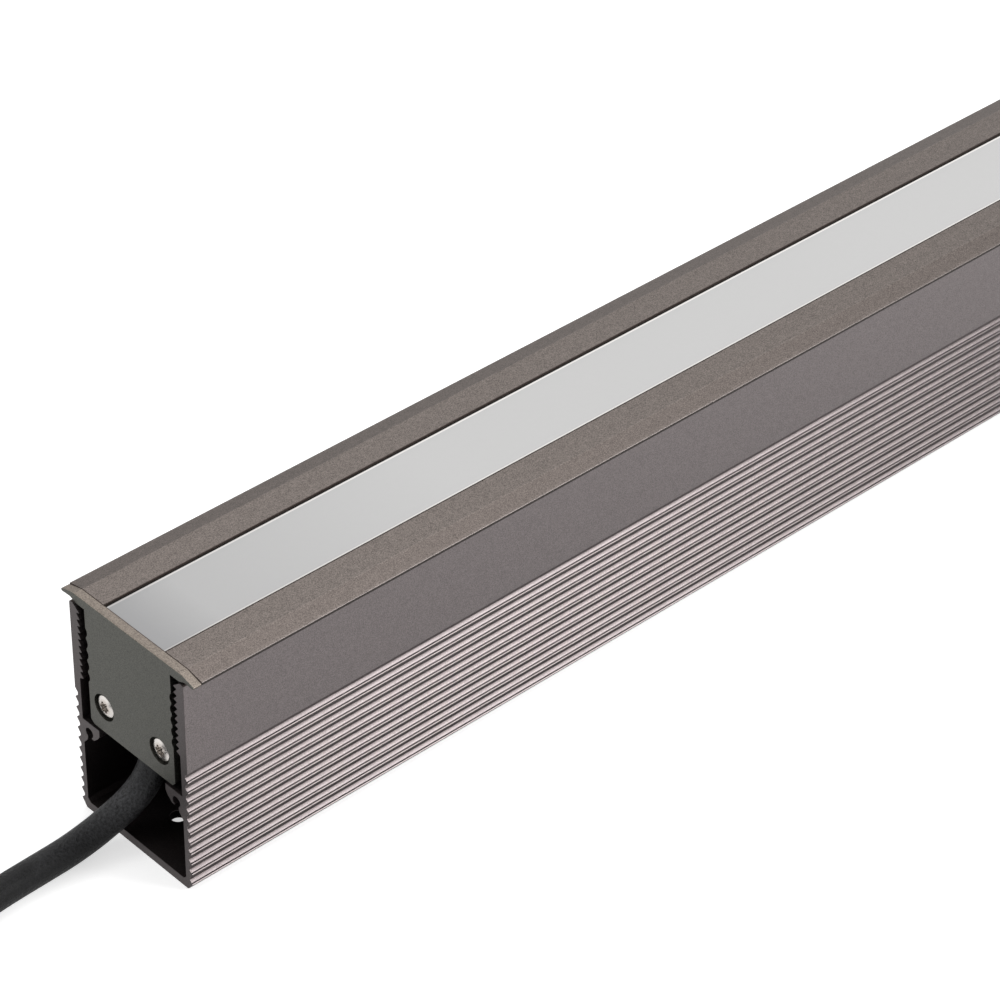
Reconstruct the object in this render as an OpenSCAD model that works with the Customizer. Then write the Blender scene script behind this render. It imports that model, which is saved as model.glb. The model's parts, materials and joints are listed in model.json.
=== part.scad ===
// Recessed linear wall washer light: a ribbed mounting channel that is set in the ground or
// in a wall, and a sealed lamp that drops into it and leaves by a cable at its near end.
// The length lies along X with the cable end at -X, the far side is +Y, and Z is up.
// The origin is the centre of the channel's underside.

/* [Channel] */
// Length of the mounting channel
channel_l = 500; // [320:10:1000]
// Width of the channel over its ribs
channel_w = 45; // [44:0.5:60]
// Height of the channel
channel_h = 67.3; // [66:0.1:90]
// Thickness of the channel's floor
floor_t = 2.6; // [2:0.1:4]
// Thickness of the smooth upper wall
wall_t = 2.4; // [2:0.1:2.8]
// How far the ledges reach in from the wall
ledge_reach = 6.7; // [5.8:0.1:7.5]

/* [Ribs and teeth] */
// Number of ribs outside, on each side
rib_count = 11; // [5:1:11]
// Distance from rib to rib
rib_pitch = 3.38; // [2.8:0.02:3.4]
// How far a rib stands out
rib_depth = 1.1; // [0.7:0.05:1.2]
// Number of teeth inside, on each side
tooth_count = 11; // [5:1:12]
// Distance from tooth to tooth
tooth_pitch = 2.1; // [2.1:0.05:2.3]
// How far a tooth stands in
tooth_depth = 1.2; // [0.6:0.05:1.3]

/* [Floor holes] */
// Diameter of the fixing and drain holes in the floor
fixing_d = 4.5; // [3.5:0.1:6]
// Distance from an end to the first hole
fixing_inset = 13.5; // [10:0.5:40]
// Number of holes along the floor
fixing_count = 3; // [2:1:4]

/* [Lamp] */
// Height of the lamp, from its underside to the top of its flange
lamp_h = 39.1; // [38:0.1:42]
// Gap between the lamp's side and the wall of the channel
lamp_side_gap = 3.15; // [2.8:0.05:3.4]
// How far the lamp's ends stand back from the channel's ends
lamp_recess = 0.4; // [0.2:0.1:3]
// Thickness of the lamp's side walls
lamp_wall_t = 1.8; // [1.5:0.1:2.2]
// Thickness of the web that carries the light board
web_t = 2.5; // [2:0.1:3.5]
// Thickness of the flange
flange_t = 2.8; // [2.4:0.1:3.4]
// How far the flange reaches past the channel's ribs
flange_reach = 3.5; // [2:0.1:8]
// Thickness of an end cap
cap_t = 2.4; // [2:0.1:4]
// Size of the chamfer along the top of an end cap
cap_chamfer = 0.4; // [0.2:0.05:1]
// Depth of the scallops along the lamp's sides
scallop_depth = 0.6; // [0.3:0.05:0.7]

/* [Lens and light] */
// Width of the lens
lens_w = 23.1; // [18:0.1:23.5]
// Thickness of the lens
lens_t = 2.6; // [2:0.1:3]
// How far the lens lies below the flange
lens_drop = 0.55; // [0.2:0.05:1]
// Distance from light chip to light chip
led_pitch = 26; // [18:1:60]

/* [Screws] */
// Thread of the cap screws
screw_d = 3; // [2.5:0.1:3.5]
// Diameter of their domed heads
screw_head_d = 6.2; // [5.6:0.1:6.4]
// Length of the cap screws
screw_l = 16; // [10:1:20]
// Thread of the small screws that hold the light board and the clips
small_screw_d = 3; // [2.5:0.1:3]

/* [Cable and plug] */
// Diameter of the cable
cable_d = 8.2; // [6:0.1:8.2]
// Diameter of the gland's flange
gland_d = 14; // [13:0.5:15]
// Diameter of the plug's coupling ring
ring_d = 18.4; // [17.6:0.2:18.4]
// Length of the plug's coupling ring
ring_l = 16; // [12:1:17]

/* [Hidden] */
$fn = 48;
overrun = 1;
fit_clear = 0.1;
near_x = -channel_l / 2;

// Channel, outer side
rib_tip_y = channel_w / 2;
rib_land_y = rib_tip_y - rib_depth;
rib_low_z = 2.4;
rib_rise = 1.1;
rib_fall = 1.45;
rib_top_z = rib_low_z + (rib_count - 1) * rib_pitch;
rib_end_gap = 0.9;
rib_slope_l = norm([rib_depth, rib_rise]);
rib_notch_share = 0.73;
rib_notch_w = 0.34;
rib_notch_depth = 0.25;
band_inset = 0.1;
band_y = rib_tip_y - band_inset;
band_slope = rib_depth - band_inset;
band_low_z = rib_top_z + rib_rise + rib_end_gap + band_slope;
channel_corner = 0.8;
rim_chamfer = 0.3;
rim_land = 1.1;

// Channel, inner side
inner_y = band_y - wall_t;
tooth_pad = 0.3;
tooth_root_y = inner_y - tooth_pad;
tooth_tip_y = tooth_root_y - tooth_depth;
tooth_rise = 1.5;
tooth_under = 0.5;
tooth_top_drop = 2;
tooth_top_z = channel_h - tooth_top_drop;
floor_fillet = 1;

// Lamp outline
rest_gap = 0.1;
wing_under_z = channel_h + rest_gap;
lamp_top_z = wing_under_z + flange_t;
lamp_bottom_z = lamp_top_z - lamp_h;
lamp_y = inner_y - lamp_side_gap;
lamp_corner = 1.2;
wing_y = rib_tip_y + flange_reach;
wing_foot_w = 0.4;
wing_foot_y = inner_y + wing_foot_w;
wing_rise = 0.85;
wing_slope_h = 0.7;
wing_edge_h = 0.85;
wing_lean = 0.15;
wing_nose = 0.15;
bevel_w = 5.4;
crease_y = wing_y - bevel_w;
cap_tip_drop = 0.3;
scallop_count = 5;
scallop_pitch = 3.6;
scallop_w = 2.9;
scallop_top_drop = 10.2;
scallop_r = (scallop_w * scallop_w / 4 + scallop_depth * scallop_depth) / (2 * scallop_depth);
scallop_y = lamp_y - scallop_depth + scallop_r;
lamp_near_x = near_x + lamp_recess;
gasket_t = 0.3;
gasket_inset = 0.1;
housing_near_x = lamp_near_x + cap_t + gasket_t;
housing_l = -2 * housing_near_x;

// Ledges with the screw grooves under them
ledge_gap = 0.7;
ledge_z = lamp_bottom_z - ledge_gap;
ledge_tip_y = inner_y - ledge_reach;
ledge_tip_h = 2;
lip_chamfer = 0.7;
lip_drop = 1.2;
lip_h = 4.8;
lip_w = 1.8;
groove_d = 3;
groove_y = inner_y - 5 * groove_d / 6;
groove_drop = 3.3;
groove_z = ledge_z - groove_drop;
mouth_half = 0.8;
mouth_h = 2.1;
foot_w = 1.4;
foot_drop = 6.2;
foot_end_drop = 7.9;

// Lamp interior
lens_y = lens_w / 2;
seal_t = 0.35;
seal_foot_w = 2;
seal_foot_t = 0.5;
seal_low = 0.25;
lens_end_gap = 0.3;
seat_y = lens_y + seal_t;
lens_top_z = lamp_top_z - lens_drop;
lens_low_z = lens_top_z - lens_t;
seat_z = lens_low_z - seal_foot_t;
seat_lip_t = 1.5;
seat_open_y = seat_y - seal_foot_w;
chamber_y = lamp_y - lamp_wall_t;
chamber_top_z = seat_z - seat_lip_t;
base_t = 2;
wiring_h = 11.4;
wiring_low_z = lamp_bottom_z + base_t;
web_low_z = wiring_low_z + wiring_h;
chamber_low_z = web_low_z + web_t;
lens_l = housing_l - 2 * lens_end_gap;

// Cap screws and the ports they turn into
screw_side_inset = 5.8;
screw_y = lamp_y - screw_side_inset;
screw_up = 8.2;
screw_z = lamp_bottom_z + screw_up;
port_wall = 1.2;
port_d = screw_d + 2 * port_wall;
head_gap = 0.8;
head_bore_d = screw_head_d + 2 * head_gap;
head_bore_share = 0.5;
head_seat = head_bore_share * cap_t;
head_side_h = 0.65;
dome_h = 0.65;
dome_r = (screw_head_d * screw_head_d / 4 + dome_h * dome_h) / (2 * dome_h);
socket_d = 2.5;
socket_lobe_d = 1;
socket_reach = 1.2;
socket_depth = 1.6;

// Light board, chips, reflector and board screws
board_t = 1.6;
board_w = 20;
board_end_gap = 6;
board_l = housing_l - 2 * board_end_gap;
board_z = chamber_low_z + board_t;
led_w = 3.5;
led_h = 0.9;
led_dome_d = 2.8;
led_dome_h = 0.5;
led_count = 2 * floor((board_l - 2 * board_end_gap) / led_pitch / 2);
reflector_t = 0.8;
reflector_foot_y = 7;
reflector_gap = 0.2;
reflector_top_y = seat_open_y;
reflector_top_z = chamber_top_z - reflector_gap;
small_head_d = 1.85 * small_screw_d;
small_head_h = 1;
board_screw_inset = 5;
board_screw_x = led_pitch * floor(board_l / led_pitch / 6);
board_screw_xs = [board_screw_inset - board_l / 2, -board_screw_x, board_screw_x,
    board_l / 2 - board_screw_inset];

// Driver board, its parts and the terminal block
driver_l = 150;
driver_w = 13;
driver_t = 1.6;
driver_foot_h = 1.4;
driver_foot_d = 4;
driver_foot_inset = 5;
driver_foot_edge = 1;
driver_inset = 50;
driver_z = wiring_low_z + driver_foot_h;
driver_x = housing_near_x + driver_inset + driver_l / 2;
driver_part_count = 5;
driver_part_pitch = driver_l / (driver_part_count + 1);
capacitor_d = 5;
capacitor_h = 5.5;
coil_w = 7;
coil_h = 5;
driver_chip_l = 9;
driver_chip_w = 6;
driver_chip_h = 1.8;
driver_chip_gap = 6;
terminal_l = 16;
terminal_w = 15;
terminal_h = 7;
terminal_inset = 32;
terminal_x = housing_near_x + terminal_inset;
terminal_z = wiring_low_z + terminal_h / 2;
conductor_d = 2.4;
conductor_pitch = 4.2;
riser_end = 1;

// Gland in the lamp's underside, and the cable's end inside it
gland_inset = 10;
gland_x = near_x + gland_inset;
gland_y = 3;
gland_seal_t = 0.6;
gland_flange_t = 2.1;
gland_wall = 1.1;
gland_bore_d = cable_d + fit_clear;
gland_shank_d = gland_bore_d + 2 * gland_wall;
gland_nut_t = 2.4;
gland_nut_across = 12.4;
gland_shank_end = 0.8;
gland_h = gland_flange_t + gland_seal_t + base_t + gland_nut_t + gland_shank_end;
gland_low_z = lamp_bottom_z - gland_seal_t - gland_flange_t;
core_circle_r = 1.9;
core_turns = [-30, 210, 90];
core_rises = [1.4, 2.6, 1.4];

// Spring clips in the side gaps
clip_w = 12;
clip_t = 0.5;
clip_foot_low = 2;
clip_foot_h = 6;
clip_arm_h = 13;
clip_lift = 0.8;
clip_bend_h = 2;
clip_inset = 60;
clip_screw_l = 3;
clip_low_z = lamp_bottom_z + clip_foot_low;
clip_screw_z = clip_low_z + clip_foot_h / 2;
clip_x = near_x + clip_inset;

// Cable routes, with X from the channel's near end: from the gland to the hank, and from the
// hank to the plug
lead_route = [
    [10, 3, 28.4], [10, 3, 25.8], [9.6, 3, 23.2], [8.8, 3.2, 20.6], [7.7, 3.4, 18.2],
    [6.3, 3.6, 16], [4.6, 4, 13.9], [2.8, 4.5, 12.1], [0.8, 4.9, 10.5], [-1.4, 5.3, 9.2],
    [-3.6, 5.7, 8], [-5.9, 6, 7], [-8.3, 6.2, 6.1], [-10.8, 6.4, 5.4], [-13.3, 6.5, 4.8],
    [-18.4, 6.5, 4.2], [-26, 6.4, 4.1], [-38, 6, 4.1], [-44, 5.5, 4.1], [-50, 3.9, 4.1],
    [-55.5, 1.3, 4.1], [-60.5, -2.2, 4.1], [-66.2, -8.2, 4.1], [-72, -14.2, 4.1],
    [-77, -17.7, 4.1], [-82.5, -20.3, 4.1], [-88.5, -21.9, 4.1], [-94.5, -22.4, 4.1],
    [-100.5, -22.4, 4.1]];
end_route = [
    [-203.5, -22.4, 12.9], [-206.5, -22.4, 12.9], [-211.3, -22.1, 12.7], [-216, -21.2, 12.1],
    [-220.3, -19.7, 11.1], [-224.6, -18.2, 10], [-229.2, -17.3, 9.4], [-234, -17, 9.2],
    [-237, -17, 9.2]];
tube_sides = 10;
wound_sides = 6;
core_sides = 8;

// Hank: it spirals in, climbs a layer along one run, and spirals out again
hank_near_x = -109;
hank_far_x = -195;
hank_y = 12.4;
hank_half_l = (hank_near_x - hank_far_x) / 2;
hank_mid_x = (hank_near_x + hank_far_x) / 2;
hank_pitch = 9.8;
hank_in_r = 25;
hank_out_r = hank_in_r + hank_pitch;
hank_draw = 11;
hank_low_z = 4.1;
hank_layer = 8.8;
hank_lift = 1.4;
hank_lift_half = 26;
hank_end_l = 8.5;
run_steps = 7;
fold_steps = 5;
half_steps = run_steps + fold_steps;
loop_steps = 2 * half_steps;
hank_steps = 2 * loop_steps + run_steps;

// Tie round the hank's waist
tie_w = 12;
tie_t = 0.8;
tie_clear = 0.8;
tie_corner_r = 4;

// Plug, along -X from the end of the cable
plug_place = [-237, -17, 9.2];
boot_l = 16;
boot_tip_d = 11;
boot_root_d = 14.5;
shell_d = 16;
shell_l = 18;
nose_d = 13;
nose_l = 18;
nose_bore_d = 10.6;
nose_x = boot_l + shell_l;
insert_d = nose_bore_d - 2 * fit_clear;
insert_l = 10;
plug_pin_d = 1.6;
plug_pin_l = 12;
plug_pin_depth = 6;
pin_circle_r = 3;
pin_count = 3;
ring_gap = 0.3;
ring_lip_l = 2;
collar_d = 15.2;
collar_l = 1.5;
collar_x = nose_x + ring_gap + ring_lip_l + ring_gap;
grip_count = 18;
grip_groove_d = 1;
plug_seal_d = 1.2;
plug_seal_x = 3;
seal_groove_depth = 0.6;

// A flat outline drawn in Y and Z, drawn out along X
module along_x(from, to) {
    translate([from, 0, 0])
        rotate([90, 0, 90])
            linear_extrude(to - from)
                children();
}

module both_sides() {
    children();
    mirror([1, 0])
        children();
}

module band(half_w, low_z, high_z) {
    translate([-half_w, low_z])
        square([2 * half_w, high_z - low_z]);
}

// An outline in Y and Z, from its points on the +Y side and their mirror images
function mirrored(points) = concat(points,
    [for (i = [len(points) - 1:-1:0]) [-points[i][0], points[i][1]]]);

// A rod along X from the first place to the second
module rod_x(from, to, d) {
    translate([from, 0, 0])
        rotate([0, 90, 0])
            cylinder(d = d, h = to - from);
}

function unit(v) = v / norm(v);

// The direction of a route at each point, from the points beside it
function route_dirs(p) = [for (i = [0:len(p) - 1])
    unit(p[min(i + 1, len(p) - 1)] - p[max(i - 1, 0)])];

// A side direction at each point, carried along the route without twist
function carried(dirs, i, last) =
    i == len(dirs) ? [] :
    let (side = unit(last - dirs[i] * (last * dirs[i])))
    concat([side], carried(dirs, i + 1, side));

// A closed tube whose rings stand at the points of a route
module tube(points, radius, sides) {
    dirs = route_dirs(points);
    across = abs(dirs[0][2]) < abs(dirs[0][1]) + abs(dirs[0][0]) ? [0, 0, 1] : [0, 1, 0];
    side = carried(dirs, 0, across);
    rings = len(points);
    ring_points = [for (i = [0:rings - 1], k = [0:sides - 1])
        points[i] + radius * (cos(360 * k / sides) * side[i]
            + sin(360 * k / sides) * cross(dirs[i], side[i]))];
    walls = [for (i = [0:rings - 2], k = [0:sides - 1])
        let (a = i * sides + k, b = i * sides + (k + 1) % sides)
        each [[a, a + sides, b], [b, a + sides, b + sides]]];
    base = (rings - 1) * sides;
    first = [for (k = [1:sides - 2]) [0, k, k + 1]];
    last = [for (k = [1:sides - 2]) [base, base + k + 1, base + k]];
    polyhedron(ring_points, concat(walls, first, last));
}

function from_near(points) = [for (p = points) p + [near_x, 0, 0]];

// Channel: a place on a rib's upper slope, from its foot at 0 to its tip at 1, sunk by a depth
function slope_place(tip_z, share, depth = 0) = [
    rib_land_y + share * rib_depth - depth * rib_rise / rib_slope_l,
    tip_z + (1 - share) * rib_rise - depth * rib_depth / rib_slope_l];

function rib_points(tip_z) = let (half_share = rib_notch_w / rib_slope_l / 2)
    [[rib_land_y, tip_z - rib_fall], [rib_tip_y, tip_z],
        slope_place(tip_z, rib_notch_share + half_share),
        slope_place(tip_z, rib_notch_share, rib_notch_depth),
        slope_place(tip_z, rib_notch_share - half_share), [rib_land_y, tip_z + rib_rise]];

function tooth_points(tip_z) = [[tooth_tip_y, tip_z], [tooth_root_y, tip_z - tooth_under],
    [tooth_root_y, tip_z - tooth_pitch + tooth_rise]];

module channel_outline() {
    outside = concat([[rib_land_y - channel_corner, 0], [rib_land_y, channel_corner]],
        [for (i = [0:rib_count - 1]) each rib_points(rib_low_z + i * rib_pitch)],
        [[rib_land_y, band_low_z - band_slope], [band_y, band_low_z],
            [band_y, channel_h - rim_chamfer], [band_y - rim_chamfer, channel_h],
            [band_y - rim_chamfer - rim_land, channel_h]]);
    teeth = [for (i = [0:tooth_count - 1]) each tooth_points(tooth_top_z - i * tooth_pitch)];
    ledge = [[inner_y, ledge_z], [ledge_tip_y, ledge_z], [ledge_tip_y, ledge_z - ledge_tip_h],
        [ledge_tip_y + lip_chamfer, ledge_z - ledge_tip_h - lip_drop],
        [groove_y - lip_w, ledge_z - lip_h], [groove_y - mouth_half, ledge_z - lip_h],
        [groove_y - mouth_half, groove_z], [groove_y + mouth_half, groove_z],
        [groove_y + mouth_half, groove_z - mouth_h], [inner_y - foot_w, ledge_z - foot_drop],
        [inner_y, ledge_z - foot_end_drop]];
    below = [[inner_y, floor_t + floor_fillet], [inner_y - floor_fillet, floor_t]];
    difference() {
        polygon(mirrored(concat(outside, teeth, [[inner_y, tooth_root_z()]], ledge, below)));
        both_sides()
            translate([groove_y, groove_z])
                circle(d = groove_d);
    }
}

// Where the last tooth's root runs out into the wall
function tooth_root_z() = tooth_top_z - tooth_count * tooth_pitch + tooth_rise - tooth_pad;

function fixing_xs() = let (span = channel_l - 2 * fixing_inset)
    [for (i = [0:fixing_count - 1]) span * (i / (fixing_count - 1) - 0.5)];

module channel() {
    color([0.47, 0.44, 0.44])
        difference() {
            along_x(near_x, -near_x)
                channel_outline();
            for (x = fixing_xs())
                translate([x, 0, -overrun])
                    cylinder(d = fixing_d, h = floor_t + 2 * overrun);
        }
}

// The lamp's outline seen along its length, drawn in by an inset, its wing tips let down by a
// drop
module lamp_outline(inset = 0, drop = 0) {
    side_y = lamp_y - inset;
    under_z = wing_under_z + inset;
    tip_y = wing_y - inset;
    tip_low_z = wing_under_z + wing_slope_h;
    tip_z = tip_low_z + wing_edge_h - drop;
    difference() {
        polygon(mirrored([[lamp_y - lamp_corner, lamp_bottom_z + inset],
            [side_y, lamp_bottom_z + lamp_corner], [side_y, under_z],
            [wing_foot_y, under_z], [band_y, under_z + wing_rise],
            [tip_y - wing_lean, tip_low_z], [tip_y, tip_z], [tip_y - wing_nose, tip_z + wing_nose],
            [crease_y, lamp_top_z - inset]]));
        both_sides()
            for (i = [0:scallop_count - 1])
                translate([scallop_y, lamp_top_z - scallop_top_drop - i * scallop_pitch])
                    circle(r = scallop_r + inset);
    }
}

module wiring_space() {
    difference() {
        band(chamber_y, wiring_low_z, web_low_z);
        both_sides() {
            translate([screw_y, screw_z])
                circle(d = port_d);
            translate([screw_y, screw_z - port_wall / 2])
                square([chamber_y - screw_y + overrun, port_wall]);
        }
    }
}

module lamp_housing() {
    color([0.42, 0.4, 0.38])
        difference() {
            along_x(housing_near_x, -housing_near_x)
                difference() {
                    lamp_outline();
                    band(seat_y, seat_z, lamp_top_z + overrun);
                    band(seat_open_y, chamber_top_z - overrun, seat_z + overrun);
                    band(chamber_y, chamber_low_z, chamber_top_z);
                    wiring_space();
                }
            for (side = [-1, 1])
                translate([0, side * screw_y, screw_z]) {
                    rod_x(housing_near_x - overrun, housing_near_x + screw_l, screw_d);
                    rod_x(-housing_near_x - screw_l, overrun - housing_near_x, screw_d);
                }
            translate([gland_x, gland_y, lamp_bottom_z - overrun])
                cylinder(d = gland_shank_d + fit_clear, h = base_t + 2 * overrun);
            translate([terminal_x, 0, web_low_z - overrun])
                cylinder(d = conductor_d + fit_clear, h = web_t + 2 * overrun);
            for (x = board_screw_xs)
                translate([x, 0, web_low_z - overrun])
                    cylinder(d = small_screw_d, h = web_t + 2 * overrun);
            for (side = [-1, 1], x = [clip_x, -clip_x])
                translate([x, side * (lamp_y - lamp_wall_t / 2), clip_screw_z])
                    rotate([90, 0, 0])
                        cylinder(d = small_screw_d, h = lamp_wall_t + overrun, center = true);
        }
}

// The near cap; the far one is its mirror image
module end_cap() {
    color([0.36, 0.36, 0.34])
        difference() {
            along_x(lamp_near_x, lamp_near_x + cap_t)
                lamp_outline(0, cap_tip_drop);
            translate([lamp_near_x, 0, lamp_top_z])
                rotate([0, 45, 0])
                    cube([sqrt(2) * cap_chamfer, 2 * wing_y + overrun, sqrt(2) * cap_chamfer],
                        center = true);
            for (side = [-1, 1])
                translate([lamp_near_x, side * screw_y, screw_z]) {
                    rod_x(-overrun, cap_t + overrun, screw_d + fit_clear);
                    rod_x(-overrun, head_seat, head_bore_d);
                }
        }
}

module end_cap_near() {
    end_cap();
}

module end_cap_far() {
    mirror([1, 0, 0])
        end_cap();
}

module cap_gasket() {
    color([0.1, 0.1, 0.1])
        along_x(lamp_near_x + cap_t, housing_near_x)
            difference() {
                lamp_outline(gasket_inset, cap_tip_drop);
                band(chamber_y + gasket_inset, chamber_low_z, chamber_top_z);
                wiring_space();
                both_sides()
                    translate([screw_y, screw_z])
                        circle(d = screw_d + fit_clear);
            }
}

module cap_gasket_near() {
    cap_gasket();
}

module cap_gasket_far() {
    mirror([1, 0, 0])
        cap_gasket();
}

// Six round lobes about the screw's middle
module screw_socket() {
    circle(d = socket_d);
    for (i = [0:5])
        rotate(60 * i)
            translate([socket_reach, 0])
                circle(d = socket_lobe_d);
}

module cap_screws() {
    color([0.78, 0.78, 0.78])
        for (side = [-1, 1])
            translate([lamp_near_x + head_seat, side * screw_y, screw_z])
                difference() {
                    union() {
                        intersection() {
                            rod_x(-head_side_h - dome_h, 0, screw_head_d);
                            translate([dome_r - head_side_h - dome_h, 0, 0])
                                sphere(r = dome_r);
                        }
                        rod_x(-head_side_h, screw_l, screw_d);
                    }
                    along_x(-head_side_h - dome_h - overrun, socket_depth - head_side_h - dome_h)
                        screw_socket();
                }
}

module cap_screws_near() {
    cap_screws();
}

module cap_screws_far() {
    mirror([1, 0, 0])
        cap_screws();
}

// Lens and the seal frame that it lies in
module lens() {
    color([0.85, 0.86, 0.87])
        along_x(-lens_l / 2, lens_l / 2)
            band(lens_y, lens_low_z, lens_top_z);
}

module lens_seal() {
    color([0.08, 0.08, 0.08])
        difference() {
            along_x(housing_near_x, -housing_near_x)
                band(seat_y, seat_z, lens_top_z - seal_low);
            along_x(-lens_l / 2, lens_l / 2)
                band(lens_y, lens_low_z, lens_top_z + overrun);
            along_x(seal_foot_w - housing_l / 2, housing_l / 2 - seal_foot_w)
                band(seat_open_y, seat_z - overrun, lens_top_z);
        }
}

module reflector() {
    color([0.95, 0.95, 0.95])
        along_x(-board_l / 2, board_l / 2)
            both_sides()
                polygon([[reflector_foot_y, board_z], [reflector_foot_y + reflector_t, board_z],
                    [reflector_top_y + reflector_t, reflector_top_z],
                    [reflector_top_y, reflector_top_z]]);
}

module light_board() {
    color([0.92, 0.92, 0.9])
        difference() {
            along_x(-board_l / 2, board_l / 2)
                band(board_w / 2, chamber_low_z, board_z);
            for (x = board_screw_xs)
                translate([x, 0, chamber_low_z - overrun])
                    cylinder(d = small_screw_d, h = board_t + 2 * overrun);
            translate([terminal_x, 0, chamber_low_z - overrun])
                cylinder(d = conductor_d + fit_clear, h = board_t + 2 * overrun);
        }
}

module light_chips() {
    color([0.95, 0.85, 0.35])
        for (i = [0:led_count - 1])
            translate([(i - (led_count - 1) / 2) * led_pitch, 0, board_z]) {
                translate([-led_w / 2, -led_w / 2, 0])
                    cube([led_w, led_w, led_h]);
                translate([0, 0, led_h])
                    cylinder(d = led_dome_d, h = led_dome_h);
            }
}

module board_screws() {
    color([0.75, 0.75, 0.75])
        for (x = board_screw_xs)
            translate([x, 0, 0]) {
                translate([0, 0, board_z])
                    cylinder(d = small_head_d, h = small_head_h);
                translate([0, 0, web_low_z])
                    cylinder(d = small_screw_d, h = web_t + board_t);
            }
}

// Driver board on its feet
module driver_board() {
    color([0.1, 0.35, 0.2]) {
        translate([driver_x - driver_l / 2, -driver_w / 2, driver_z])
            cube([driver_l, driver_w, driver_t]);
        for (a = [-1, 1], b = [-1, 1])
            translate([driver_x + a * (driver_l / 2 - driver_foot_inset),
                b * ((driver_w - driver_foot_d) / 2 - driver_foot_edge), wiring_low_z])
                cylinder(d = driver_foot_d, h = driver_foot_h);
    }
}

module driver_parts() {
    color([0.2, 0.2, 0.22])
        for (i = [1:driver_part_count])
            translate([driver_x - driver_l / 2 + i * driver_part_pitch, 0, driver_z + driver_t]) {
                if (i % 2 == 1)
                    cylinder(d = capacitor_d, h = capacitor_h);
                else
                    translate([-coil_w / 2, -coil_w / 2, 0])
                        cube([coil_w, coil_w, coil_h]);
                translate([driver_chip_gap, -driver_chip_w / 2, 0])
                    cube([driver_chip_l, driver_chip_w, driver_chip_h]);
            }
}

module terminal_block() {
    color([0.85, 0.85, 0.8])
        difference() {
            translate([terminal_x - terminal_l / 2, -terminal_w / 2, wiring_low_z])
                cube([terminal_l, terminal_w, terminal_h]);
            for (i = [-1:1])
                translate([terminal_x, i * conductor_pitch, terminal_z])
                    rod_x(-terminal_l, terminal_l, conductor_d + fit_clear);
        }
}

// A core from the cable's end, up and over, through the terminal block and onto the driver
function core_route(i) = let (
    turn = core_turns[i + 1],
    x = gland_x + core_circle_r * cos(turn),
    y = gland_y + core_circle_r * sin(turn),
    low_z = gland_low_z + gland_h,
    high_z = low_z + core_rises[i + 1] * conductor_d,
    goal_y = i * conductor_pitch,
    goal_x = terminal_x - terminal_l / 2,
    out_x = terminal_x + terminal_l / 2,
    step = conductor_d)
    [[x, y, low_z], [x, y, high_z - step], [x + step / 4, y, high_z - step / 4],
        [x + step, y, high_z], [x + 2 * step, y, high_z],
        [goal_x - step, goal_y, terminal_z], [goal_x, goal_y, terminal_z],
        [out_x + step, goal_y, terminal_z],
        [driver_x - driver_l / 2, goal_y, driver_z + driver_t + step / 2 + fit_clear],
        [driver_x - driver_l / 2 + step, goal_y, driver_z + driver_t + step / 2 + fit_clear]];

module conductors() {
    core_tints = [[0.2, 0.35, 0.75], [0.3, 0.65, 0.25], [0.45, 0.27, 0.15]];
    for (i = [-1:1])
        color(core_tints[i + 1])
            tube(core_route(i), conductor_d / 2, core_sides);
    color([0.07, 0.07, 0.07])
        translate([gland_x, gland_y, gland_low_z])
            cylinder(d = cable_d, h = gland_h);
    color([0.9, 0.9, 0.9])
        translate([terminal_x, 0, wiring_low_z + terminal_h])
            cylinder(d = conductor_d, h = board_z + riser_end - wiring_low_z - terminal_h);
}

// Gland: body outside, seal under its flange, nut inside the lamp
module gland_body() {
    color([0.12, 0.12, 0.12])
        translate([gland_x, gland_y, gland_low_z])
            difference() {
                union() {
                    cylinder(d = gland_d, h = gland_flange_t);
                    cylinder(d = gland_shank_d, h = gland_h);
                }
                translate([0, 0, -overrun])
                    cylinder(d = gland_bore_d, h = gland_h + 2 * overrun);
            }
}

module gland_seal() {
    color([0.06, 0.06, 0.06])
        translate([gland_x, gland_y, lamp_bottom_z - gland_seal_t])
            difference() {
                cylinder(d = gland_d - fit_clear, h = gland_seal_t);
                translate([0, 0, -overrun])
                    cylinder(d = gland_shank_d + fit_clear, h = gland_seal_t + 2 * overrun);
            }
}

module gland_nut() {
    color([0.15, 0.15, 0.15])
        translate([gland_x, gland_y, wiring_low_z])
            difference() {
                cylinder(d = gland_nut_across / cos(30), h = gland_nut_t, $fn = 6);
                translate([0, 0, -overrun])
                    cylinder(d = gland_shank_d, h = gland_nut_t + 2 * overrun);
            }
}

// The near clip on the +Y side; the others are its mirror images
module clip() {
    foot_z = clip_low_z + clip_foot_h;
    tip_y = lamp_y + clip_lift;
    color([0.7, 0.7, 0.72])
        difference() {
            along_x(clip_x - clip_w / 2, clip_x + clip_w / 2)
                polygon([[lamp_y, clip_low_z], [lamp_y + clip_t, clip_low_z],
                    [lamp_y + clip_t, foot_z], [tip_y + clip_t, foot_z + clip_arm_h],
                    [tip_y, foot_z + clip_arm_h + clip_bend_h],
                    [tip_y - clip_t, foot_z + clip_arm_h + clip_bend_h],
                    [tip_y, foot_z + clip_arm_h], [lamp_y, foot_z + clip_t]]);
            translate([clip_x, lamp_y + clip_t / 2, clip_screw_z])
                rotate([90, 0, 0])
                    cylinder(d = small_screw_d, h = clip_t + overrun, center = true);
        }
}

module clip_near_left() {
    clip();
}

module clip_near_right() {
    mirror([0, 1, 0])
        clip();
}

module clip_far_left() {
    mirror([1, 0, 0])
        clip();
}

module clip_far_right() {
    mirror([1, 0, 0])
        mirror([0, 1, 0])
            clip();
}

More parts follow.
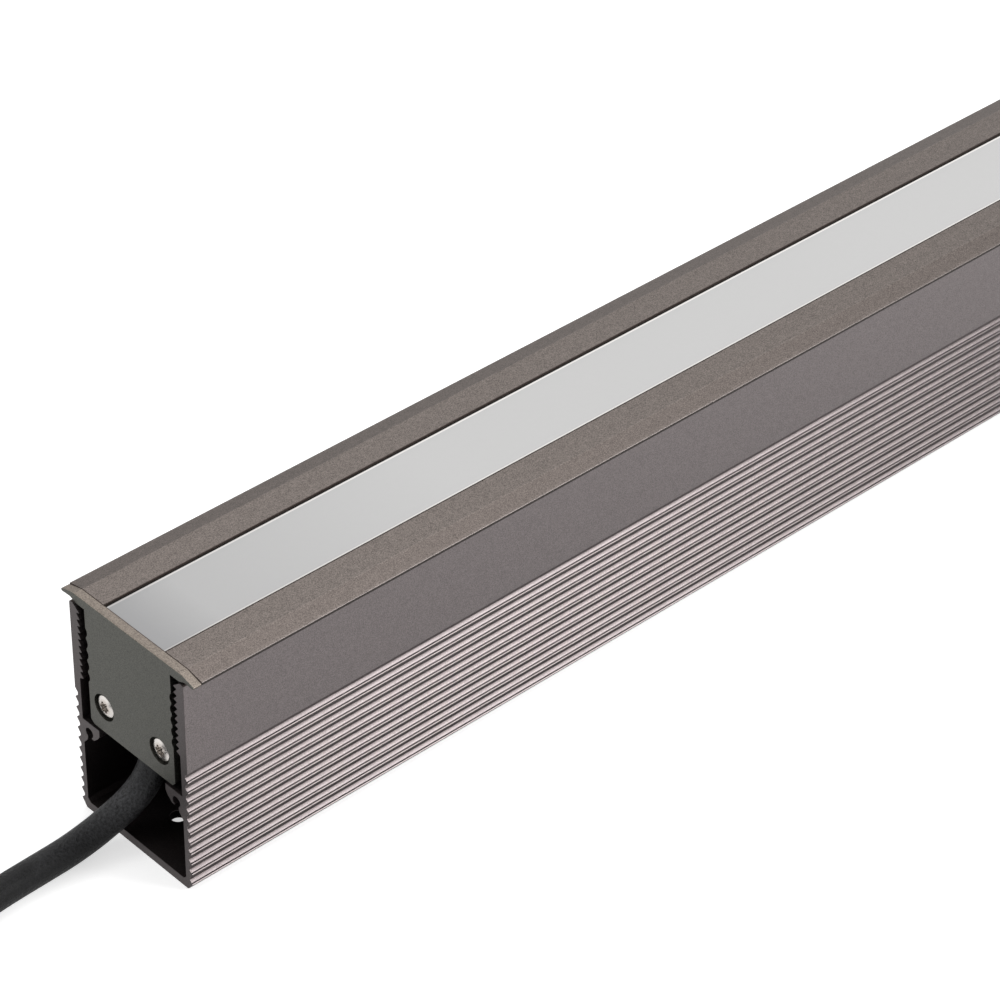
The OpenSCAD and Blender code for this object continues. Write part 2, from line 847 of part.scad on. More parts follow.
module clip_screws() {
    color([0.75, 0.75, 0.75])
        for (a = [-1, 1], b = [-1, 1])
            translate([a * clip_x, b * (lamp_y + clip_t), clip_screw_z])
                rotate([b * 90, 0, 0]) {
                    cylinder(d = small_screw_d, h = clip_screw_l);
                    translate([0, 0, -small_head_h])
                        cylinder(d = small_head_d, h = small_head_h);
                }
}

// Cable
module cord_lead() {
    color([0.07, 0.07, 0.07])
        tube(from_near(lead_route), cable_d / 2, tube_sides);
}

module cord_end() {
    color([0.07, 0.07, 0.07])
        tube(from_near(end_route), cable_d / 2, tube_sides);
}

function hank_radius(k) =
    k < loop_steps ? hank_out_r - hank_pitch * k / loop_steps :
    k < loop_steps + run_steps ? hank_in_r :
    hank_in_r + hank_pitch * (k - loop_steps - run_steps) / loop_steps;

function hank_height(k) =
    hank_low_z + hank_layer * max(0, min(1, (k - loop_steps) / run_steps));

// A place on a run, from the middle of the hank, and on a fold
function run_place(side, share, r) = let (
    x = side * hank_half_l * (2 * share - 1),
    y = side * (r - hank_draw * (1 + cos(180 * x / hank_half_l)) / 2),
    lift = abs(x) < hank_lift_half ? hank_lift * (1 + cos(180 * x / hank_lift_half)) / 2 : 0)
    [x, y, lift];

function fold_place(side, share, r) =
    [side * (hank_half_l + r * sin(180 * share)), side * r * cos(180 * share), 0];

function hank_place(k) = let (
    p = k % half_steps,
    side = floor(k / half_steps) % 2 == 0 ? -1 : 1,
    r = hank_radius(k))
    (p < run_steps ? run_place(side, p / run_steps, r)
        : fold_place(side, (p - run_steps) / fold_steps, r))
    + [hank_mid_x, hank_y, hank_height(k)];

hank_end = [hank_end_l, 0, 0];
hank_route = concat([hank_place(0) + hank_end], [for (k = [0:hank_steps]) hank_place(k)],
    [hank_place(hank_steps) - hank_end]);

// The least gap of the hank to itself, on points along its rings and between them
between = 4;
hank_probe = [for (k = [0:len(hank_route) - 2], j = [0:between - 1])
    hank_route[k] + (hank_route[k + 1] - hank_route[k]) * j / between];
apart = between * half_steps;
hank_gap = min([for (i = [0:len(hank_probe) - 1])
    for (j = [i + apart:1:len(hank_probe) - 1]) norm(hank_probe[i] - hank_probe[j])]) - cable_d;
echo(hank_gap = hank_gap);

module cord_hank() {
    color([0.07, 0.07, 0.07])
        tube(from_near(hank_route), cable_d / 2, wound_sides);
}

module rounded(y0, y1, z0, z1, r) {
    translate([y0 + r, z0])
        square([y1 - y0 - 2 * r, z1 - z0]);
    translate([y0, z0 + r])
        square([y1 - y0, z1 - z0 - 2 * r]);
    for (y = [y0 + r, y1 - r], z = [z0 + r, z1 - r])
        translate([y, z])
            circle(r = r);
}

// The tie goes round the outermost runs at the waist
module cord_tie() {
    reach = cable_d / 2 + tie_clear;
    low_run = hank_place(run_steps / 2);
    far_run = hank_place(half_steps + run_steps / 2);
    y0 = low_run[1] - reach;
    y1 = far_run[1] + reach;
    z1 = hank_low_z + hank_layer + hank_lift + cable_d / 2;
    color([0.05, 0.05, 0.05])
        along_x(near_x + hank_mid_x - tie_w / 2, near_x + hank_mid_x + tie_w / 2)
            difference() {
                rounded(y0 - tie_t, y1 + tie_t, 0, z1 + 2 * tie_t, tie_corner_r);
                rounded(y0, y1, tie_t, z1 + tie_t, tie_corner_r - tie_t);
            }
}

// Plug: places along it are counted from the end of the cable
module along_plug() {
    translate(plug_place + [near_x, 0, 0])
        rotate([0, -90, 0])
            children();
}

module at(x) {
    translate([0, 0, x])
        children();
}

module plug_boot() {
    color([0.1, 0.1, 0.1])
        along_plug()
            cylinder(d1 = boot_tip_d, d2 = boot_root_d, h = boot_l);
}

module plug_shell() {
    color([0.14, 0.14, 0.15])
        along_plug()
            difference() {
                union() {
                    at(boot_l)
                        cylinder(d = shell_d, h = shell_l);
                    at(nose_x)
                        cylinder(d = nose_d, h = nose_l);
                    at(collar_x)
                        cylinder(d = collar_d, h = collar_l);
                }
                at(nose_x)
                    cylinder(d = nose_bore_d, h = nose_l + overrun);
                at(nose_x + nose_l - plug_seal_x)
                    difference() {
                        cylinder(d = nose_d + overrun, h = plug_seal_d);
                        at(-overrun)
                            cylinder(d = nose_d - 2 * seal_groove_depth,
                                h = plug_seal_d + 2 * overrun);
                    }
            }
}

module pins_round() {
    for (i = [0:pin_count - 1])
        rotate(360 * i / pin_count)
            translate([pin_circle_r, 0, 0])
                children();
}

module plug_insert() {
    color([0.25, 0.25, 0.27])
        along_plug()
            difference() {
                at(nose_x)
                    cylinder(d = insert_d, h = insert_l);
                at(nose_x + insert_l - plug_pin_depth)
                    pins_round()
                        cylinder(d = plug_pin_d, h = plug_pin_depth + overrun);
            }
}

module plug_pins() {
    color([0.85, 0.7, 0.35])
        along_plug()
            at(nose_x + insert_l - plug_pin_depth)
                pins_round()
                    cylinder(d = plug_pin_d, h = plug_pin_l);
}

module plug_seal() {
    color([0.06, 0.06, 0.06])
        along_plug()
            at(nose_x + nose_l - plug_seal_x + plug_seal_d / 2)
                rotate_extrude()
                    translate([nose_d / 2 - seal_groove_depth + plug_seal_d / 2, 0])
                        circle(d = plug_seal_d);
}

module coupling_ring() {
    color([0.13, 0.13, 0.14])
        along_plug()
            at(nose_x + ring_gap)
                difference() {
                    cylinder(d = ring_d, h = ring_l);
                    at(-overrun)
                        cylinder(d = nose_d + 2 * fit_clear, h = ring_l + 2 * overrun);
                    at(ring_lip_l)
                        cylinder(d = collar_d + 2 * fit_clear, h = ring_l);
                    for (i = [0:grip_count - 1])
                        rotate(360 * i / grip_count)
                            translate([ring_d / 2, 0, ring_lip_l])
                                cylinder(d = grip_groove_d, h = ring_l - 2 * ring_lip_l);
                }
}

channel();
lamp_housing();
end_cap_near();
end_cap_far();
cap_gasket_near();
cap_gasket_far();
cap_screws_near();
cap_screws_far();
lens();
lens_seal();
reflector();
light_board();
light_chips();
board_screws();
driver_board();
driver_parts();
terminal_block();
conductors();
gland_body();
gland_seal();
gland_nut();
clip_near_left();
clip_near_right();
clip_far_left();
clip_far_right();
clip_screws();
cord_lead();
cord_hank();
cord_end();
cord_tie();
plug_boot();
plug_shell();
plug_insert();
plug_pins();
plug_seal();
coupling_ring();
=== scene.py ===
import json
from math import cos, pi, radians, sin

import bmesh
import bpy
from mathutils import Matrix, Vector


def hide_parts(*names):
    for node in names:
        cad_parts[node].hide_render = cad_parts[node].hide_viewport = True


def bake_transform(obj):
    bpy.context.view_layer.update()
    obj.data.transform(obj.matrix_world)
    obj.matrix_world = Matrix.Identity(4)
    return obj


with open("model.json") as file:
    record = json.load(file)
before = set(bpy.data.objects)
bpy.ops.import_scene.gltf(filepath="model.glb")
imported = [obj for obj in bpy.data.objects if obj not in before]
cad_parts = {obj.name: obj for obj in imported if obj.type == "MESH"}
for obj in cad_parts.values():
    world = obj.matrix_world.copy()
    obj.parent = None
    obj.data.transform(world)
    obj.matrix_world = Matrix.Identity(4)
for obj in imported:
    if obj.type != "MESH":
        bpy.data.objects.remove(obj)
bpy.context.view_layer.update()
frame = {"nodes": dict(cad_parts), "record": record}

mm = 0.001
scene = bpy.context.scene

# Camera at the photograph's place, turned to its view
cameraValues = {
    "place": (-0.68215, -0.59329, 0.66553),
    "turn": (52.803, -0.7225, -42.6393),  # degrees
    "lens": 138.9,
    "sensor": 36.0,
    "nearest": 0.01,
    "farthest": 20,
}


def makeCamera(v):
    data = bpy.data.cameras.new("camera")
    data.lens = v["lens"]
    data.sensor_width = v["sensor"]
    data.clip_start = v["nearest"]
    data.clip_end = v["farthest"]
    camera = bpy.data.objects.new("camera", data)
    camera.location = v["place"]
    camera.rotation_euler = [radians(angle) for angle in v["turn"]]
    scene.collection.objects.link(camera)
    scene.camera = camera


makeCamera(cameraValues)
print("camera placed")


# Cable: the CAD source's route in mm, with X counted from the channel's near end
cableValues = {
    "startX": -250.0,  # the channel's near end
    "diameter": 8.2,
    "roundness": 10,  # more makes the tube rounder
    "steps": 4,  # smooth steps between two points of the route
    "leastStep": 0.4,
    "liftStart": (-40, 6, 4.1),  # from this point the lead runs on to the lamp
    "lead": [
        (10, 3, 28.4), (10, 3, 25.8), (9.6, 3, 23.2), (8.8, 3.2, 20.6), (7.7, 3.4, 18.2),
        (6.3, 3.6, 16), (4.6, 4, 13.9), (2.8, 4.5, 12.1), (0.8, 4.9, 10.5), (-1.4, 5.3, 9.2),
        (-3.6, 5.7, 8), (-5.9, 6, 7), (-8.3, 6.2, 6.1), (-10.8, 6.4, 5.4),
        (-13.3, 6.5, 4.8), (-18.4, 6.5, 4.2), (-26, 6.4, 4.1), (-38, 6, 4.1), (-44, 5.5, 4.1),
        (-50, 3.9, 4.1), (-55.5, 1.3, 4.1), (-60.5, -2.2, 4.1), (-66.2, -8.2, 4.1),
        (-72, -14.2, 4.1), (-77, -17.7, 4.1), (-82.5, -20.3, 4.1), (-88.5, -21.9, 4.1),
        (-94.5, -22.4, 4.1), (-100.5, -22.4, 4.1)],
    "end": [
        (-203.5, -22.4, 12.9), (-206.5, -22.4, 12.9), (-211.3, -22.1, 12.7),
        (-216, -21.2, 12.1), (-220.3, -19.7, 11.1), (-224.6, -18.2, 10), (-229.2, -17.3, 9.4),
        (-234, -17, 9.2), (-237, -17, 9.2)],
}

# Hank: loops side by side that spiral in, climb a layer and spiral out again
hankValues = {
    "nearX": -109, "farX": -195,  # ends of the runs
    "y": 12.4,
    "inRadius": 25, "pitch": 9.8,
    "draw": 11,  # how far the runs are drawn in at the tie
    "lowZ": 4.1, "layer": 8.8,
    "lift": 1.4, "liftHalf": 26,  # raised over the tie
    "runSteps": 7, "foldSteps": 5, "finer": 5,
}


# A B-spline that starts at the first point and ends at the last
def smoothRoute(points, steps):
    made = []
    last = len(points) - 1
    for i in range(-2, last):
        a, b, c, d = (Vector(points[max(0, min(last, i + k))]) for k in range(4))
        for j in range(steps):
            t = j / steps
            made.append(((1 - t) ** 3 * a + (3 * t ** 3 - 6 * t ** 2 + 4) * b
                         + (3 * t ** 2 + 3 * t - 3 * t ** 3 + 1) * c + t ** 3 * d) / 6)
    return made + [Vector(points[last])]


# Place on the hank after so many steps of its runs and folds
def hankPlace(h, step):
    run, fold = h["runSteps"], h["foldSteps"]
    half, loop = run + fold, 2 * (run + fold)
    if step < loop:
        radius = h["inRadius"] + h["pitch"] - h["pitch"] * step / loop
    elif step < loop + run:
        radius = h["inRadius"]
    else:
        radius = h["inRadius"] + h["pitch"] * (step - loop - run) / loop
    z = h["lowZ"] + h["layer"] * max(0, min(1, (step - loop) / run))
    side = -1 if int(step // half) % 2 == 0 else 1
    part = step % half
    halfLength = (h["nearX"] - h["farX"]) / 2
    if part < run:
        x = side * halfLength * (2 * part / run - 1)
        y = side * (radius - h["draw"] * (1 + cos(pi * x / halfLength)) / 2)
        if abs(x) < h["liftHalf"]:
            z += h["lift"] * (1 + cos(pi * x / h["liftHalf"])) / 2
    else:
        angle = pi * (part - run) / fold
        x = side * (halfLength + radius * sin(angle))
        y = side * radius * cos(angle)
    return Vector((x + (h["nearX"] + h["farX"]) / 2, y + h["y"], z))


# A point of the route in metres, in the frame
def inFrame(point):
    x, y, z = point
    return Vector((x + cableValues["startX"], y, z)) * mm


def cableRoute(v, h):
    run, loop = h["runSteps"], 2 * (h["runSteps"] + h["foldSteps"])
    count = (2 * loop + run) * h["finer"]
    wound = [hankPlace(h, k / h["finer"]) for k in range(count + 1)]
    whole = smoothRoute(v["lead"], v["steps"]) + wound + smoothRoute(v["end"], v["steps"])
    spaced = [whole[0]]
    for place in whole[1:-1]:
        if min((place - spaced[-1]).length, (place - whole[-1]).length) > v["leastStep"]:
            spaced.append(place)
    return [inFrame(place) for place in spaced + whole[-1:]]


def tubeMesh(name, route, diameter, roundness):
    curve = bpy.data.curves.new(name, "CURVE")
    curve.dimensions = "3D"
    curve.bevel_depth = diameter / 2
    curve.bevel_resolution = roundness
    curve.use_fill_caps = True
    line = curve.splines.new("POLY")
    line.points.add(len(route) - 1)
    for point, place in zip(line.points, route):
        point.co = (*place, 1)
    holder = bpy.data.objects.new(name, curve)
    scene.collection.objects.link(holder)
    bpy.context.view_layer.update()
    mesh = bpy.data.meshes.new_from_object(holder.evaluated_get(
        bpy.context.evaluated_depsgraph_get()))
    bpy.data.objects.remove(holder)
    bpy.data.curves.remove(curve)
    tube = bpy.data.objects.new(name, mesh)
    scene.collection.objects.link(tube)
    for face in mesh.polygons:
        face.use_smooth = len(face.vertices) == 4  # the end caps stay flat
    return tube


route = cableRoute(cableValues, hankValues)
cable = tubeMesh("cable", route, cableValues["diameter"] * mm, cableValues["roundness"])
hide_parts("cord_lead", "cord_hank", "cord_end")
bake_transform(cable)


# Helpers for node trees
def addNode(tree, kind, settings=None, values=None):
    node = tree.nodes.new(kind)
    for key, value in (settings or {}).items():
        setattr(node, key, value)
    for key, value in (values or {}).items():
        node.inputs[key].default_value = value
    return node


def mathNode(tree, operation, a, b, clamp=False):
    node = addNode(tree, "ShaderNodeMath", {"operation": operation, "use_clamp": clamp})
    for socket, value in zip(node.inputs, (a, b)):
        if isinstance(value, (int, float)):
            socket.default_value = value
        else:
            tree.links.new(value, socket)
    return node.outputs[0]


def newGroup(name, inputs, outputs):
    group = bpy.data.node_groups.new(name, "ShaderNodeTree")
    for label, kind, *value in inputs:
        socket = group.interface.new_socket(label, in_out="INPUT", socket_type=kind)
        if value:
            socket.default_value = value[0]
    for label, kind in outputs:
        group.interface.new_socket(label, in_out="OUTPUT", socket_type=kind)
    start = group.nodes.new("NodeGroupInput")
    end = group.nodes.new("NodeGroupOutput")
    return group, start, end


# Fine blasted grain with slow mottling
grainValues = {
    "fineDetail": 2.0, "fineRoughness": 0.7,
    "slowScale": 500.0, "slowDetail": 4.0,
}


def makeGrainGroup(v):
    group, start, end = newGroup("fineGrain", [
        ("Vector", "NodeSocketVector"),
        ("Color", "NodeSocketColor", (0.5, 0.5, 0.5, 1)),
        ("Grain Scale", "NodeSocketFloat", 3000.0),
        ("Grain", "NodeSocketFloat", 0.15),
        ("Mottle", "NodeSocketFloat", 0.06),
        ("Roughness", "NodeSocketFloat", 0.4),
        ("Rough Spread", "NodeSocketFloat", 0.08),
    ], [("Color", "NodeSocketColor"), ("Roughness", "NodeSocketFloat"),
        ("Height", "NodeSocketFloat")])
    link = group.links.new
    fine = addNode(group, "ShaderNodeTexNoise",
                   values={"Detail": v["fineDetail"], "Roughness": v["fineRoughness"]})
    link(start.outputs["Vector"], fine.inputs["Vector"])
    link(start.outputs["Grain Scale"], fine.inputs["Scale"])
    slow = addNode(group, "ShaderNodeTexNoise",
                   values={"Scale": v["slowScale"], "Detail": v["slowDetail"]})
    link(start.outputs["Vector"], slow.inputs["Vector"])
    # Both noises lie round 0.5, so they are centred before they shade the colour
    centred = mathNode(group, "SUBTRACT", fine.outputs["Fac"], 0.5)
    grain = mathNode(group, "MULTIPLY", centred, start.outputs["Grain"])
    mottled = mathNode(group, "SUBTRACT", slow.outputs["Fac"], 0.5)
    mottled = mathNode(group, "MULTIPLY", mottled, start.outputs["Mottle"])
    shade = mathNode(group, "ADD", grain, mottled)
    level = mathNode(group, "ADD", mathNode(group, "MULTIPLY", shade, 2.0), 1.0)
    tint = addNode(group, "ShaderNodeVectorMath", {"operation": "SCALE"})
    link(start.outputs["Color"], tint.inputs[0])
    link(level, tint.inputs["Scale"])
    link(tint.outputs[0], end.inputs["Color"])
    rough = mathNode(group, "MULTIPLY", centred, start.outputs["Rough Spread"])
    rough = mathNode(group, "ADD", mathNode(group, "MULTIPLY", rough, 2.0),
                     start.outputs["Roughness"], clamp=True)
    link(rough, end.inputs["Roughness"])
    link(fine.outputs["Fac"], end.inputs["Height"])
    return group


# Fine lines left along X by the extrusion die
dieLineValues = {
    "scale": 2500.0, "stretch": 0.004,
    "detail": 3.0, "roughness": 0.7,
}


def makeDieLineGroup(v):
    group, start, end = newGroup("dieLines", [
        ("Vector", "NodeSocketVector"),
        ("Scale", "NodeSocketFloat", v["scale"]),
    ], [("Height", "NodeSocketFloat")])
    link = group.links.new
    stretch = addNode(group, "ShaderNodeMapping", values={"Scale": (v["stretch"], 1.0, 1.0)})
    link(start.outputs["Vector"], stretch.inputs["Vector"])
    lines = addNode(group, "ShaderNodeTexNoise",
                    values={"Detail": v["detail"], "Roughness": v["roughness"]})
    link(stretch.outputs[0], lines.inputs["Vector"])
    link(start.outputs["Scale"], lines.inputs["Scale"])
    link(lines.outputs["Fac"], end.inputs["Height"])
    return group


# A box, mirrored in X and Y, inside which a surface's colour and roughness change
def makeZoneGroup():
    group, start, end = newGroup("zoneTint", [
        ("Vector", "NodeSocketVector"),
        ("Color", "NodeSocketColor", (0.5, 0.5, 0.5, 1)),
        ("Roughness", "NodeSocketFloat", 0.4),
        ("Low", "NodeSocketVector", (0, 0, 0)),
        ("High", "NodeSocketVector", (1, 1, 1)),
        ("Soft", "NodeSocketFloat", 0.0001),
        ("Factor", "NodeSocketColor", (1, 1, 1, 1)),
        ("Rougher", "NodeSocketFloat", 0.0),
    ], [("Color", "NodeSocketColor"), ("Roughness", "NodeSocketFloat")])
    link = group.links.new
    place = addNode(group, "ShaderNodeVectorMath", {"operation": "ABSOLUTE"})
    link(start.outputs["Vector"], place.inputs[0])
    # The least distance inside the six sides
    least = None
    for a, b in ((place.outputs[0], start.outputs["Low"]),
                 (start.outputs["High"], place.outputs[0])):
        gap = addNode(group, "ShaderNodeVectorMath", {"operation": "SUBTRACT"})
        link(a, gap.inputs[0])
        link(b, gap.inputs[1])
        parts = addNode(group, "ShaderNodeSeparateXYZ")
        link(gap.outputs[0], parts.inputs[0])
        for part in parts.outputs:
            least = part if least is None else mathNode(group, "MINIMUM", least, part)
    mask = mathNode(group, "DIVIDE", least, start.outputs["Soft"], clamp=True)
    mix = addNode(group, "ShaderNodeMix", {"data_type": "RGBA", "blend_type": "MULTIPLY"})
    link(mask, mix.inputs["Factor"])
    link(start.outputs["Color"], mix.inputs["A"])
    link(start.outputs["Factor"], mix.inputs["B"])
    link(mix.outputs["Result"], end.inputs["Color"])
    rough = mathNode(group, "MULTIPLY", mask, start.outputs["Rougher"])
    link(mathNode(group, "ADD", rough, start.outputs["Roughness"], clamp=True),
         end.inputs["Roughness"])
    return group


grainGroup = makeGrainGroup(grainValues)
dieLineGroup = makeDieLineGroup(dieLineValues)
zoneGroup = makeZoneGroup()

# Finishes by the record's slot. A zone is a box in mm that tints what is inside it. It is
# counted outwards from the middle in X and Y, and open on the sides that it leaves out
wide = 900
openZone = {
    "x": (-wide, wide), "y": (-wide, wide), "z": (-wide, wide),
    "soft": 0.05, "rougher": 0.0,
}
finishValues = {
    "channel_metal": {
        "name": "anodisedChannel", "color": (0.150, 0.132, 0.132), "rough": 0.36,
        "metallic": 1.0, "grain": 0.8, "mottle": 0.10, "bump": 0.3, "lines": 1.5,
        "zones": [
            # painted shade on the cut ends, inside the channel, on the holes' walls and at the
            # ribs' roots
            {"x": (249.9, wide), "tint": (0.50, 0.49, 0.49), "rougher": 0.1},
            {"x": (-wide, 249.9), "y": (-wide, 20.05), "z": (2.5, 67.2),
             "tint": (0.38, 0.36, 0.36), "rougher": 0.1},
            {"x": (-wide, 249), "y": (-wide, 2.6), "z": (0.1, 2.5),
             "tint": (0.02, 0.02, 0.02), "rougher": 0.6},
            {"x": (-wide, 249.9), "y": (21.1, 21.8), "z": (1, 40),
             "tint": (0.55, 0.54, 0.54), "soft": 0.3},
        ]},
    "lamp_metal": {
        "name": "anodisedLamp", "color": (0.136, 0.117, 0.107), "rough": 0.42,
        "metallic": 1.0, "grain": 1.2, "mottle": 0.16, "grainScale": 3200.0, "bump": 0.4,
        "lines": 0.4,
        "zones": [
            # painted shade at the edge by the lens, under the lip, on the lip's nose and on the
            # bevels
            {"y": (11.8, 12.3), "z": (69.9, wide), "tint": (0.28, 0.25, 0.24),
             "rougher": 0.1, "soft": 0.06},
            {"y": (22.9, wide), "z": (66, 68.97), "tint": (0.25, 0.24, 0.24),
             "rougher": 0.1},
            {"y": (25.82, wide), "z": (68.9, 69.3), "tint": (0.85, 0.86, 0.90)},
            {"y": (20.65, 25.9), "z": (69.0, wide), "tint": (0.84, 0.83, 0.83),
             "soft": 0.3},
        ]},
    "cap_metal": {
        "name": "anodisedCap", "color": (0.076, 0.0757, 0.0665), "rough": 0.45,
        "metallic": 1.0, "grain": 1.1, "mottle": 0.10, "bump": 0.3,
        "zones": [
            # painted light on the top, and painted shade on the edge under the lip
            {"x": (-wide, 249.5), "z": (67.4, wide), "tint": (2.50, 2.16, 2.12),
             "rougher": 0.05},
            {"x": (-wide, 249.5), "y": (25.4, wide), "z": (60, 68.5),
             "tint": (0.5, 0.5, 0.5), "rougher": 0.05},
        ]},
    "seal_rubber": {
        "name": "sealRubber", "color": (0.012, 0.010, 0.009), "rough": 0.6, "grain": 0.15,
        "shader": {"Specular IOR Level": 0.25},
        "zones": [
            # the end gaskets, and not the plug's seal further out
            {"x": (246.6, 251), "tint": (6.0, 5.6, 5.4), "rougher": 0.1},
        ]},
    "screw_steel": {
        "name": "screwSteel", "color": (0.62, 0.59, 0.56), "rough": 0.24, "metallic": 1.0,
        "zones": [
            # painted shade on the crowns of the cap screws
            {"x": (249.3, wide), "tint": (0.75, 0.71, 0.68), "soft": 0.25},
        ]},
    "lens_glass": {
        "name": "frostedLens", "color": (0.505, 0.502, 0.499), "rough": 0.5, "grain": 0.02,
        "mottle": 0.01, "bump": 0.03, "shader": {"Specular IOR Level": 0.35},
        "zones": [
            # painted shade towards the ends and on the ends themselves, and painted highlights
            # along the long edges
            {"x": (150, wide), "tint": (0.80, 0.80, 0.805), "soft": 100},
            {"x": (228, wide), "tint": (0.76, 0.76, 0.77), "soft": 16},
            {"y": (10.9, wide), "tint": (1.55, 1.52, 1.48), "soft": 0.1},
        ]},
    "cable_rubber": {
        "name": "cableRubber", "color": (0.0070, 0.0070, 0.0075), "rough": 0.5, "grain": 2.2,
        "grainScale": 1300.0, "roughSpread": 0.3, "bump": 1.0, "bumpDistance": 0.0003,
        "shader": {"Specular IOR Level": 0.2},
        "zones": [
            # painted sheen where it bends up to the lamp
            {"x": (242, 280), "z": (6, wide), "tint": (6.0, 6.0, 5.9), "soft": 8},
        ]},
    "spring_steel": {
        "name": "springSteel", "color": (0.55, 0.55, 0.56), "rough": 0.25, "metallic": 1.0,
        "grain": 0.05},
    "pin_brass": {
        "name": "pinBrass", "color": (0.72, 0.52, 0.20), "rough": 0.22, "metallic": 1.0,
        "grain": 0.05},
    "reflector_white": {
        "name": "reflectorWhite", "color": (0.85, 0.85, 0.84), "rough": 0.35, "grain": 0.02},
    "board_white": {
        "name": "boardWhite", "color": (0.82, 0.82, 0.80), "rough": 0.3, "grain": 0.02},
    "chip_yellow": {
        "name": "chipPhosphor", "color": (0.85, 0.68, 0.18), "rough": 0.25, "grain": 0.05},
    "board_green": {
        "name": "boardGreen", "color": (0.03, 0.16, 0.07), "rough": 0.3, "grain": 0.08},
    "parts_dark": {
        "name": "partsDark", "color": (0.03, 0.03, 0.035), "rough": 0.4, "grain": 0.1},
    "terminal_plastic": {
        "name": "terminalPlastic", "color": (0.6, 0.6, 0.55), "rough": 0.35, "grain": 0.04},
    "core_insulation": {
        "name": "coreInsulation", "color": (0.10, 0.16, 0.42), "rough": 0.35, "grain": 0.05},
    "gland_plastic": {
        "name": "glandPlastic", "color": (0.02, 0.02, 0.02), "rough": 0.42, "grain": 0.12},
    "tie_plastic": {
        "name": "tiePlastic", "color": (0.012, 0.012, 0.012), "rough": 0.5, "grain": 0.2},
    "plug_rubber": {
        "name": "plugRubber", "color": (0.010, 0.010, 0.010), "rough": 0.5, "grain": 0.2},
    "plug_plastic": {
        "name": "plugPlastic", "color": (0.014, 0.014, 0.016), "rough": 0.38, "grain": 0.12},
    "insert_plastic": {
        "name": "insertPlastic", "color": (0.05, 0.05, 0.055), "rough": 0.4, "grain": 0.1},
}


def surface(name, color, rough, metallic=0.0, grain=0.1, mottle=0.05, grainScale=3000.0,
            roughSpread=0.08, bump=0.1, bumpDistance=0.00005, lines=0.0, shader=None,
            zones=()):
    material = bpy.data.materials.new(name)
    material.use_nodes = True
    tree = material.node_tree
    body = tree.nodes["Principled BSDF"]
    body.inputs["Metallic"].default_value = metallic
    for key, value in (shader or {}).items():
        body.inputs[key].default_value = value
    place = addNode(tree, "ShaderNodeTexCoord").outputs["Object"]
    look = addNode(tree, "ShaderNodeGroup", {"node_tree": grainGroup}, {
        "Color": (*color, 1), "Grain Scale": grainScale, "Grain": grain,
        "Mottle": mottle, "Roughness": rough, "Rough Spread": roughSpread})
    tree.links.new(place, look.inputs["Vector"])
    height = look.outputs["Height"]
    for zone in zones:
        v = {**openZone, **zone}
        sides = [v[axis] for axis in "xyz"]
        tinted = addNode(tree, "ShaderNodeGroup", {"node_tree": zoneGroup}, {
            "Low": [low * mm for low, high in sides],
            "High": [high * mm for low, high in sides],
            "Soft": v["soft"] * mm, "Factor": (*v["tint"], 1), "Rougher": v["rougher"]})
        tree.links.new(place, tinted.inputs["Vector"])
        for label in ("Color", "Roughness"):
            tree.links.new(look.outputs[label], tinted.inputs[label])
        look = tinted
    tree.links.new(look.outputs["Color"], body.inputs["Base Color"])
    tree.links.new(look.outputs["Roughness"], body.inputs["Roughness"])
    if lines:
        streaks = addNode(tree, "ShaderNodeGroup", {"node_tree": dieLineGroup})
        tree.links.new(place, streaks.inputs["Vector"])
        height = mathNode(tree, "ADD", height,
                          mathNode(tree, "MULTIPLY", streaks.outputs["Height"], lines))
    relief = addNode(tree, "ShaderNodeBump", values={"Strength": bump, "Distance": bumpDistance})
    tree.links.new(height, relief.inputs["Height"])
    tree.links.new(relief.outputs["Normal"], body.inputs["Normal"])
    return material


looks = {slot: surface(**values) for slot, values in finishValues.items()}
print("materials made")


def setMaterial(obj, material):
    if obj.material_slots:
        for place in obj.material_slots:
            place.material = material
    else:
        obj.data.materials.append(material)


slotOf = {part["node"]: part["material_slot"] for part in frame["record"]["subparts"]}
for node, obj in frame["nodes"].items():
    setMaterial(obj, looks[slotOf[node]])
setMaterial(cable, looks["cable_rubber"])

print("nodes dressed")


# Stage: pale floor, soft lamps and a white surround
stageValues = {
    "floorSize": 6.0,
    "floorGap": 0.00005,  # so that the underside is seen from below
    "floorColor": (0.78, 0.78, 0.78),
    "floorLift": 0.45,  # added where the camera, gloss and glass look
    "cameraLift": 0.12,  # and more where the camera looks
    "world": 0.55,  # for light, while the camera, gloss and glass see white
    "lamps": [
        # name, place, aimed at, side, power
        ("topLamp", (0.62, 0.68, 2.20), (0, 0, 0.07), 1.8, 19.0),
        ("ribLamp", (0.50, -0.86, 0.77), (-0.17, 0, 0.02), 0.5, 7.9),
        ("endLamp", (-1.15, 0.85, 1.15), (-0.25, 0, 0.05), 0.6, 4.5),
    ],
}


# One for rays from the camera, and one for those from the camera, gloss or glass
def raysSeen(tree):
    rays = addNode(tree, "ShaderNodeLightPath")
    camera = rays.outputs["Is Camera Ray"]
    seen = mathNode(tree, "ADD", camera, rays.outputs["Is Glossy Ray"])
    seen = mathNode(tree, "ADD", seen, rays.outputs["Is Transmission Ray"], clamp=True)
    return camera, seen


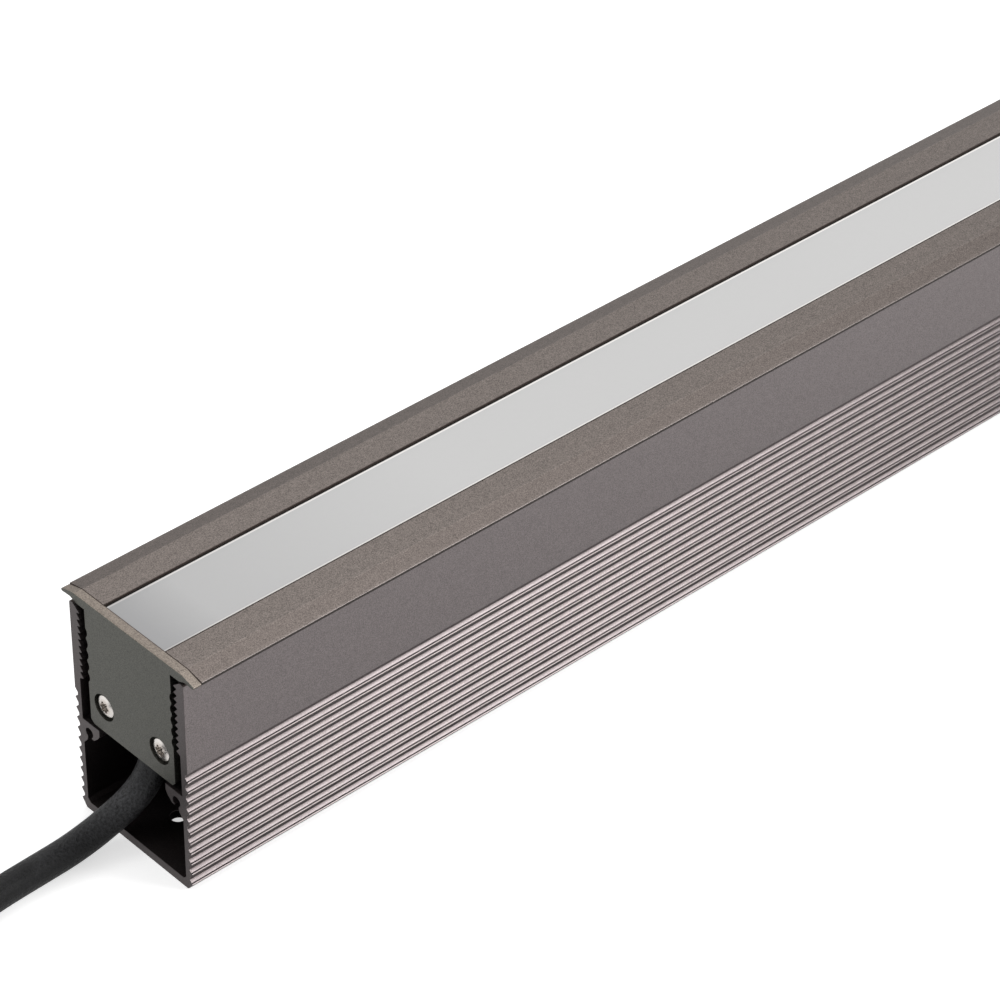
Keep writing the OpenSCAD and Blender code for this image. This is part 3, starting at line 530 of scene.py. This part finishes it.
# Matt from above and clear from below
def floorMaterial(v):
    material = bpy.data.materials.new("stageFloor")
    material.use_nodes = True
    tree = material.node_tree
    tree.nodes.clear()
    link = tree.links.new
    camera, seen = raysSeen(tree)
    matt = addNode(tree, "ShaderNodeBsdfDiffuse", values={"Color": (*v["floorColor"], 1)})
    glow = addNode(tree, "ShaderNodeEmission")
    lift = mathNode(tree, "MULTIPLY", seen, v["floorLift"])
    more = mathNode(tree, "MULTIPLY", camera, v["cameraLift"])
    link(mathNode(tree, "ADD", lift, more), glow.inputs["Strength"])
    above = addNode(tree, "ShaderNodeAddShader")
    link(matt.outputs[0], above.inputs[0])
    link(glow.outputs[0], above.inputs[1])
    clear = addNode(tree, "ShaderNodeBsdfTransparent")
    shown = addNode(tree, "ShaderNodeMixShader")
    link(addNode(tree, "ShaderNodeNewGeometry").outputs["Backfacing"], shown.inputs[0])
    link(above.outputs[0], shown.inputs[1])
    link(clear.outputs[0], shown.inputs[2])
    end = addNode(tree, "ShaderNodeOutputMaterial")
    link(shown.outputs[0], end.inputs["Surface"])
    return material


def makeFloor(v):
    bm = bmesh.new()
    bmesh.ops.create_grid(bm, x_segments=1, y_segments=1, size=v["floorSize"] / 2)
    bmesh.ops.translate(bm, vec=(0, 0, -v["floorGap"]), verts=bm.verts)
    mesh = bpy.data.meshes.new("floor")
    bm.to_mesh(mesh)
    bm.free()
    floor = bpy.data.objects.new("floor", mesh)
    scene.collection.objects.link(floor)
    floor.data.materials.append(floorMaterial(v))


def makeWorld(v):
    world = bpy.data.worlds.new("surround")
    scene.world = world
    world.use_nodes = True
    tree = world.node_tree
    camera, seen = raysSeen(tree)
    strength = mathNode(tree, "ADD", mathNode(tree, "MULTIPLY", seen, 1 - v["world"]),
                        v["world"])
    back = tree.nodes["Background"]
    back.inputs["Color"].default_value = (1, 1, 1, 1)
    tree.links.new(strength, back.inputs["Strength"])


def makeLamps(v):
    for name, place, aim, side, power in v["lamps"]:
        data = bpy.data.lights.new(name, "AREA")
        data.shape = "SQUARE"
        data.size = side
        data.energy = power
        lamp = bpy.data.objects.new(name, data)
        lamp.location = place
        turn = (Vector(aim) - Vector(place)).to_track_quat("-Z", "Y")
        lamp.rotation_euler = turn.to_euler()
        scene.collection.objects.link(lamp)


makeFloor(stageValues)
makeWorld(stageValues)
makeLamps(stageValues)
scene.view_settings.view_transform = "Standard"
print("stage made")
